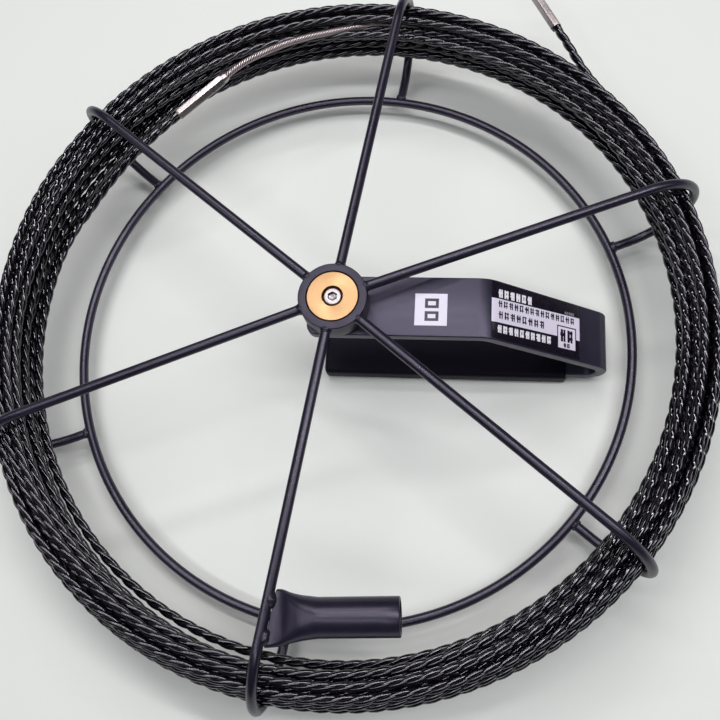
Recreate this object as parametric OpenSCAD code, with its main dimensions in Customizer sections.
// Wire-cage reel for a stiff pulling line.
// Six bent-wire arms hold the coil from outside, a strap handle sits inside the
// cage and the cage spins round it on a flanged bush.
// Frame: +Z is the reel's axis, with the hub face up; the origin is on that axis,
// in the plane that the grip's underside rests on; the handle points along +X.

/* [Wire cage] */
// Diameter of the cage wire
wire_d = 4; // [3.4:0.1:4.4]
// Radius of the rear ring, to the middle of its wire
ring_r = 121.5; // [118:0.5:123]
// Height of the middle of the rear ring above the resting plane
ring_z = 9.5; // [9:0.5:12]
// Radius at which the arms' U-bends start
bend_start_r = 129.7; // [129:0.1:132]
// Bend radius of the arms' U-bends, to the middle of the wire
bend_r = 24.4; // [24:0.1:26]
// Fall of an arm from the hub to the rim, in degrees
arm_fall = 2; // [1.5:0.1:2.5]
// Direction of the first arm from the handle, in degrees
first_arm = 81.8; // [78:0.1:86]

/* [Hub] */
// Outside diameter of the hub collar
collar_d = 27; // [26:0.5:30]
// Height of the hub collar
collar_h = 9.1; // [8.8:0.1:9.4]
// Diameter of the bush flange
flange_d = 20; // [18:0.5:21]
// Diameter of the bush barrel that the collar turns on
barrel_d = 14; // [13:0.5:15]
// Radial running clearance of the collar on the barrel
run_gap = 0.05; // [0.03:0.01:0.08]

/* [Handle] */
// Width of the strap
strap_w = 24.6; // [22:0.2:25]
// Thickness of the strap
strap_t = 4.5; // [4:0.1:4.6]
// Slope of the strap's falling part, in degrees
strap_slope = 37.4; // [36:0.2:38]
// Wall of the grip sleeve
grip_wall = 1.9; // [1.6:0.1:2]

/* [Line] */
// Diameter of the line
line_d = 4; // [3.6:0.1:4.2]
// Inside radius of the stored coil
coil_in_r = 133.2; // [133:0.2:135]
// Height of the stored coil
coil_h = 25.6; // [22:0.2:27]

/* [Line end tube] */
// Outside diameter of the tube that holds the line's end
tube_d = 14.2; // [13.4:0.1:14.4]
// Bore diameter of that tube
tube_bore = 11.4; // [10.6:0.1:11.6]
// Length of that tube with its flattened end
tube_l = 46.4; // [42:0.2:48]

/* [Hidden] */
$fn = 64;

wr = wire_d / 2;
bend_z = ring_z + bend_r;                       // height of the U-bends' middle
top_r = bend_start_r + bend_r * sin(arm_fall);  // where a straight arm meets its U-bend
top_z = bend_z + bend_r * cos(arm_fall);
cr = collar_d / 2;
arm_root_z = top_z + (top_r - cr) * tan(arm_fall);
arm_len = (top_r - cr + 0.6) / cos(arm_fall);
face_z = arm_root_z + 2.3;                      // hub face
collar_z = face_z - collar_h;
strap_top = collar_z - 1;                       // top face of the strap's flat leg
strap_mid = strap_top - strap_t / 2;
rear_mid = grip_wall + strap_t / 2;             // middle of the strap's rear leg
bend1 = 10.25;                                  // strap bend radii, to the middle
bend2 = 7.25;
tip_x = 110.2;                                  // furthest reach of the strap
slope_l = (strap_mid - rear_mid - bend1 * (1 - cos(strap_slope)) - bend2 * (1 + cos(strap_slope))) / sin(strap_slope);
bend1_x = tip_x - (bend2 + strap_t / 2) + bend2 * sin(strap_slope) - slope_l * cos(strap_slope) - bend1 * sin(strap_slope);
bend2_x = tip_x - bend2 - strap_t / 2;
strap_end_x = -11;
rear_end_x = -8.3;
tube_az = 3.85;                                 // direction of the line end tube
tube_at = [-15.2, -119.45, 57.5];               // middle of its flattened end
arm_a = [for (i = [0:5]) first_arm - 60 * i];
label_arc = 13;                                 // how much of the bend the banded sticker covers, in degrees
label_l = 43;                                   // its length past the bend

function reversed(v) = [for (i = [len(v) - 1:-1:0]) v[i]];

// A tube swept along points, each ring square to the path
function unit(v) = v / norm(v);
function tangent(p, i) = unit(p[min(i + 1, len(p) - 1)] - p[max(i - 1, 0)]);
function side(t) = unit(cross(t, abs(t[2]) < 0.9 ? [0, 0, 1] : [1, 0, 0]));
function smooth(p, n) = [for (i = [0:len(p) - 2]) each
    [for (k = [0:n - 1]) let (u = k / n,
        a = p[max(i - 1, 0)], b = p[i], c = p[i + 1], d = p[min(i + 2, len(p) - 1)])
        0.5 * (2 * b + u * (c - a) + u * u * (2 * a - 5 * b + 4 * c - d) + u * u * u * (3 * b - a - 3 * c + d))],
    p[len(p) - 1]];

module swept(p, r, sides) {
    pts = [for (i = [0:len(p) - 1]) let (t = tangent(p, i), u = side(t), v = cross(t, u))
        each [for (k = [0:sides - 1]) p[i] + r * (cos(360 * k / sides) * u + sin(360 * k / sides) * v)]];
    n = len(p);
    polyhedron(points = pts, faces = concat(
        [[for (k = [0:sides - 1]) k]],
        [[for (k = [0:sides - 1]) (n - 1) * sides + sides - 1 - k]],
        [for (i = [0:n - 2], k = [0:sides - 1]) each [
            [i * sides + k, (i + 1) * sides + k, i * sides + (k + 1) % sides],
            [i * sides + (k + 1) % sides, (i + 1) * sides + k, (i + 1) * sides + (k + 1) % sides]]]),
        convexity = 6);
}

// Route of the free end of the line, out of the coil's outer side to its ferrule
tail_route = [[115, 96, 36], [107, 107, 36], [99, 120, 35.5], [93, 133, 34.5], [87, 145, 33.5]];
// Route of the line's first stretch, from the leader's sleeve down into the coil
sleeve_at = [-77.1, 96.2, 41.8];
lead_route = [sleeve_at, [-79.4, 94.3, 41.5], [-82.6, 91.6, 41.1], [-86.6, 88, 40.5], [-92, 83.2, 39.5], [-98.5, 77.6, 37.5],
              [-106.5, 70.6, 34], [-115, 62, 29.8], [-121.5, 53.5, 27], [-127, 45.5, 26]];
// Route of the bare cable, from the sleeve's tip over the coil and in under its upper turns
cable_route = [[-60, 111, 44], [-56, 115, 44.3], [-50, 119.7, 44.5], [-42, 124.3, 44.5], [-33.5, 128.3, 44.4], [-25, 131.7, 44],
               [-16.5, 134.5, 43.2], [-8, 137.3, 42], [0, 140, 40.6], [10, 141.8, 39.2], [24, 141, 38]];

module wire_arm(a) {
    color([0.1, 0.1, 0.12]) difference() {
        rotate([0, 0, a]) {
            // straight arm falling from the hub to the rim
            translate([top_r, 0, top_z]) rotate([0, -90 + arm_fall, 0]) cylinder(h = arm_len, r = wr);
            // U-bend round the outside of the coil
            translate([bend_start_r, 0, bend_z]) rotate([90, 0, 0]) rotate([0, 0, -90])
                rotate_extrude(angle = 180 - arm_fall) translate([bend_r, 0]) circle(r = wr);
            // short rod back to the rear ring
            translate([ring_r + wr, 0, ring_z]) rotate([0, 90, 0]) cylinder(h = bend_start_r - ring_r - wr, r = wr);
            // a hair of fullness where each straight meets the bend
            translate([top_r, 0, top_z]) sphere(r = wr + 0.02);
            translate([bend_start_r, 0, ring_z]) sphere(r = wr + 0.02);
        }
        translate([0, 0, collar_z - 1]) cylinder(h = collar_h + 2, r = cr);
    }
}

module arm_1() wire_arm(arm_a[0]);
module arm_2() wire_arm(arm_a[1]);
module arm_3() wire_arm(arm_a[2]);
module arm_4() wire_arm(arm_a[3]);
module arm_5() wire_arm(arm_a[4]);
module arm_6() wire_arm(arm_a[5]);

module rear_ring() color([0.1, 0.1, 0.12])
    translate([0, 0, ring_z]) rotate_extrude() translate([ring_r, 0]) circle(r = wr);

// Collar that the arms are welded to: bored for the bush, recessed for its flange
module hub_collar() color([0.2, 0.2, 0.23]) difference() {
    translate([0, 0, collar_z]) union() {
        cylinder(h = collar_h - 0.4, r = cr);
        translate([0, 0, collar_h - 0.4]) cylinder(h = 0.4, r1 = cr, r2 = cr - 0.4);
    }
    translate([0, 0, collar_z - 1]) cylinder(h = collar_h + 2, r = barrel_d / 2 + run_gap);
    translate([0, 0, face_z - 3.1]) cylinder(h = 4, r = flange_d / 2 + 0.35);
}

// Fillet of weld metal round each arm's root
module hub_welds() color([0.1, 0.1, 0.12]) for (a = arm_a) difference() {
    rotate([0, 0, a]) translate([cr - 0.4, 0, arm_root_z]) rotate([0, 90 + arm_fall, 0])
        cylinder(h = 1.9, r1 = 2.6, r2 = 2.05);
    rotate([0, 0, a]) translate([cr - 2, 0, arm_root_z + 2 * sin(arm_fall)]) rotate([0, 90 + arm_fall, 0])
        cylinder(h = 6, r = wr);
    translate([0, 0, collar_z - 1]) cylinder(h = collar_h + 2, r = cr);
}

// Bead of weld metal where each arm's rod butts on the rear ring
module ring_welds() color([0.1, 0.1, 0.12]) for (a = arm_a)
    rotate([0, 0, a]) translate([ring_r + wr, 0, ring_z]) sphere(r = wr + 0.35);

// Ring of a tube pinched to a width w and a height h, n points round; lean slants it across its width
function pinched(x, w, h, lean, n) = [for (k = [0:n - 1]) let (a = 360 * k / n,
    y = (w - h) / 2 * (abs(cos(a)) < 0.01 ? 0 : sign(cos(a))) + h / 2 * cos(a)) [x + lean * y, y, h / 2 * sin(a)]];

module loft(rings) {
    m = len(rings);
    n = len(rings[0]);
    polyhedron(points = [for (r = rings) each r], faces = concat(
        [[for (k = [0:n - 1]) k]],
        [[for (k = [0:n - 1]) m * n - 1 - k]],
        [for (i = [0:m - 2], k = [0:n - 1]) each [
            [i * n + k, (i + 1) * n + k, i * n + (k + 1) % n],
            [i * n + (k + 1) % n, (i + 1) * n + k, (i + 1) * n + (k + 1) % n]]]), convexity = 4);
}

// Tube that the line's end is stored in: one end pinched flat along its arm, the other open
module end_tube() color([0.1, 0.1, 0.13]) translate(tube_at) rotate([0, 0, tube_az]) difference() {
    union() {
        translate([17, 0, 0]) rotate([0, 90, 0]) cylinder(h = tube_l - 17, d = tube_d);
        loft([pinched(0.15, 20, 2.9, 0.2135, 32), pinched(2.4, 19.9, 3.1, 0.17, 32), pinched(4.6, 19.2, 4.6, 0.08, 32), pinched(6.8, 17.8, 7.2, 0.03, 32),
              pinched(9.2, 16.6, 9.6, 0, 32), pinched(12, 15.5, 11.9, 0, 32), pinched(17.5, tube_d - 0.1, tube_d - 0.1, 0, 32)]);
    }
    translate([16, 0, 0]) rotate([0, 90, 0]) cylinder(h = tube_l, d = tube_bore);
}

// Two weld blobs over the seam between the pinched end and its arm
module tube_welds() color([0.1, 0.1, 0.12]) for (b = [[-6.5, -0.2], [6.3, -1]])
    translate(tube_at) rotate([0, 0, arm_a[3]]) translate([-b[0], 0, 0.8 + b[0] * tan(arm_fall)])
        rotate([0, 0, tube_az - arm_a[3]]) translate([b[1], 0, 0]) sphere(r = 2.3);

// Outer shape of the wound line: it fills the round of the U-bends
module line_coil() color([0.07, 0.07, 0.09]) rotate_extrude() intersection() {
    translate([bend_start_r, bend_z]) circle(r = bend_r - wr - 0.4);
    translate([coil_in_r, bend_z - coil_h / 2]) square([30, coil_h]);
}

module line_tail() color([0.07, 0.07, 0.09]) swept(smooth(tail_route, 2), line_d / 2, 8);

module line_lead() color([0.07, 0.07, 0.09]) swept(smooth(lead_route, 2), line_d / 2, 8);

// Crimp sleeve with six flats over the line's end: r is its corner radius, l its length past the line's end
module crimp(r, l, tip) difference() {
    union() {
        translate([0, 0, -3]) cylinder(h = l + 3, r = r, $fn = 6);
        translate([0, 0, l]) cylinder(h = tip, r1 = r * 0.85, r2 = r * 0.62);
    }
    translate([0, 0, -4]) cylinder(h = 4, r = 2.06);
}

module tail_ferrule() color([0.75, 0.73, 0.74]) translate([87, 145, 33.5]) rotate([0, 0, 116.6]) rotate([0, 94.3, 0]) crimp(2.6, 24.5, 3.5);

// Sleeve that joins the line to its bare cable
module leader_sleeve() color([0.75, 0.73, 0.74]) translate(sleeve_at) rotate([0, 0, 40.9]) rotate([0, 84.5, 0]) crimp(2.6, 22.2, 3.1);

module leader_cable() color([0.62, 0.63, 0.65]) swept(smooth(cable_route, 2), 1.42, 8);

// Slim pulling head, tucked in the coil: six flats, a tapered neck at the cable and a rounded nose
module slim_head() color([0.78, 0.78, 0.8]) translate([24, 141, 38]) rotate([0, 0, -12]) rotate([0, 94, 0]) {
    translate([0, 0, -3]) cylinder(h = 5, r1 = 1.6, r2 = 1.95);
    translate([0, 0, 2]) cylinder(h = 19, r = 2, $fn = 6);
    translate([0, 0, 21]) cylinder(h = 3, r1 = 1.8, r2 = 1.15);
}

// Flanged bush: the collar turns on its barrel, its flange keeps the collar on
module pivot_bush() color([0.83, 0.66, 0.36]) difference() {
    union() {
        translate([0, 0, strap_top]) cylinder(h = face_z - strap_top - 1, r = barrel_d / 2);
        translate([0, 0, face_z - 2.8]) cylinder(h = 2.6, r = flange_d / 2);
        translate([0, 0, face_z - 0.2]) cylinder(h = 0.2, r1 = flange_d / 2, r2 = flange_d / 2 - 0.2);
    }
    translate([0, 0, strap_top - 1]) cylinder(h = collar_h + 4, r = 2.1);
    translate([0, 0, face_z - 4.4]) cylinder(h = 5, r = 4.15);
}

module pivot_bolt() color([0.8, 0.8, 0.82]) difference() {
    union() {
        translate([0, 0, face_z - 4.4]) cylinder(h = 3.7, r = 3.7);
        translate([0, 0, face_z - 0.7]) cylinder(h = 0.3, r1 = 3.7, r2 = 3.4);
        translate([0, 0, strap_top - strap_t - 6]) cylinder(h = face_z - 4.4 - strap_top + strap_t + 6, r = 2);
    }
    translate([0, 0, face_z - 2.6]) cylinder(h = 4, r = 1.85, $fn = 6);
}

module washer(z, h, ro, ri) translate([0, 0, z]) difference() {
    cylinder(h = h, r = ro);
    translate([0, 0, -1]) cylinder(h = h + 2, r = ri);
}

module thrust_washer() color([0.9, 0.9, 0.86]) washer(strap_top, 0.7, 11.5, barrel_d / 2 + 0.1);
module plain_washer() color([0.75, 0.75, 0.77]) washer(strap_top - strap_t - 0.8, 0.8, 4.5, 2.15);
module lock_nut() color([0.75, 0.75, 0.77]) translate([0, 0, strap_top - strap_t - 5.6]) difference() {
    union() {
        translate([0, 0, 1.6]) cylinder(h = 3.2, r = 4.04, $fn = 6);
        cylinder(h = 1.6, r = 3.2);
    }
    translate([0, 0, -1]) cylinder(h = 8, r = 2.05);
}

// The strap's edge outline: its middle line carried out to one side by d
function bend_points(x, z, r, a0, a1) = [for (i = [0:20]) let (a = a0 + (a1 - a0) * i / 20) [x + r * cos(a), z + r * sin(a)]];
function strap_side(d) = concat(
    [[strap_end_x, strap_mid + d]],
    bend_points(bend1_x, strap_mid - bend1, bend1 + d, 90, 90 - strap_slope),
    bend_points(bend2_x, rear_mid + bend2, bend2 + d, 90 - strap_slope, -90),
    [[rear_end_x, rear_mid - d]]);

// Flat strap bent into a loop: flat leg under the hub, falling part, rear leg in the grip
module handle_strap() color([0.22, 0.22, 0.25]) difference() {
    rotate([90, 0, 0]) linear_extrude(height = strap_w, center = true)
        polygon(concat(strap_side(strap_t / 2), reversed(strap_side(-strap_t / 2))));
    // rounded corners of the flat leg's end
    for (s = [-1, 1]) translate([strap_end_x + 4, s * (strap_w / 2 - 4), strap_top - strap_t - 1]) difference() {
        translate([-5, s > 0 ? 0 : -5, 0]) cube([5, 5, strap_t + 2]);
        translate([0, 0, -1]) cylinder(h = strap_t + 4, r = 4);
    }
    translate([0, 0, strap_top - strap_t - 1]) cylinder(h = strap_t + 2, r = 2.15);
}

// Moulded sleeve over the strap's rear leg, closed at its free end
module grip_sleeve() color([0.09, 0.09, 0.1]) difference() {
    intersection() {
        translate([rear_end_x - 2.2, 0, 0]) linear_extrude(height = strap_t + 2 * grip_wall) union() {
            translate([2.5, -strap_w / 2 - 2]) square([104.5 - 2.5, strap_w + 4]);
            translate([0, -strap_w / 2 + 0.5]) square([6, strap_w - 1]);
            for (s = [-1, 1]) translate([2.5, s * (strap_w / 2 - 0.5)]) circle(r = 2.5);
        }
        translate([rear_end_x - 3, 0, rear_mid]) rotate([90, 0, 90]) linear_extrude(height = 106) union() {
            square([strap_w + 4, strap_t + 2 * grip_wall - 3], center = true);
            square([strap_w + 1, strap_t + 2 * grip_wall], center = true);
            for (s = [-1, 1], t = [-1, 1]) translate([s * (strap_w / 2 + 0.5), t * (strap_t / 2 + grip_wall - 1.5)]) circle(r = 1.5);
        }
    }
    translate([rear_end_x, -strap_w / 2, grip_wall]) cube([200, strap_w, strap_t]);
}

// Blank white sticker on the strap's flat leg
module label_square() color([0.93, 0.93, 0.96]) translate([31.2, -7.9, strap_top]) cube([12.6, 13.2, 0.25]);

// Blank banded sticker: it starts on the strap's bend and runs down the falling part
function label_line(d) = concat(
    bend_points(bend1_x, strap_mid - bend1, bend1 + d, 90 - strap_slope + label_arc, 90 - strap_slope),
    [[bend1_x + (bend1 + d) * sin(strap_slope) + label_l * cos(strap_slope),
      strap_mid - bend1 + (bend1 + d) * cos(strap_slope) - label_l * sin(strap_slope)]]);

module label_main() color([0.08, 0.08, 0.1]) rotate([90, 0, 0]) linear_extrude(height = 23.2, center = true)
    polygon(concat(label_line(strap_t / 2 + 0.25), reversed(label_line(strap_t / 2))));

hub_collar();
arm_1();
arm_2();
arm_3();
arm_4();
arm_5();
arm_6();
rear_ring();
hub_welds();
ring_welds();
end_tube();
tube_welds();
line_coil();
line_lead();
line_tail();
tail_ferrule();
leader_sleeve();
leader_cable();
slim_head();
pivot_bush();
pivot_bolt();
thrust_washer();
plain_washer();
lock_nut();
handle_strap();
grip_sleeve();
label_square();
label_main();
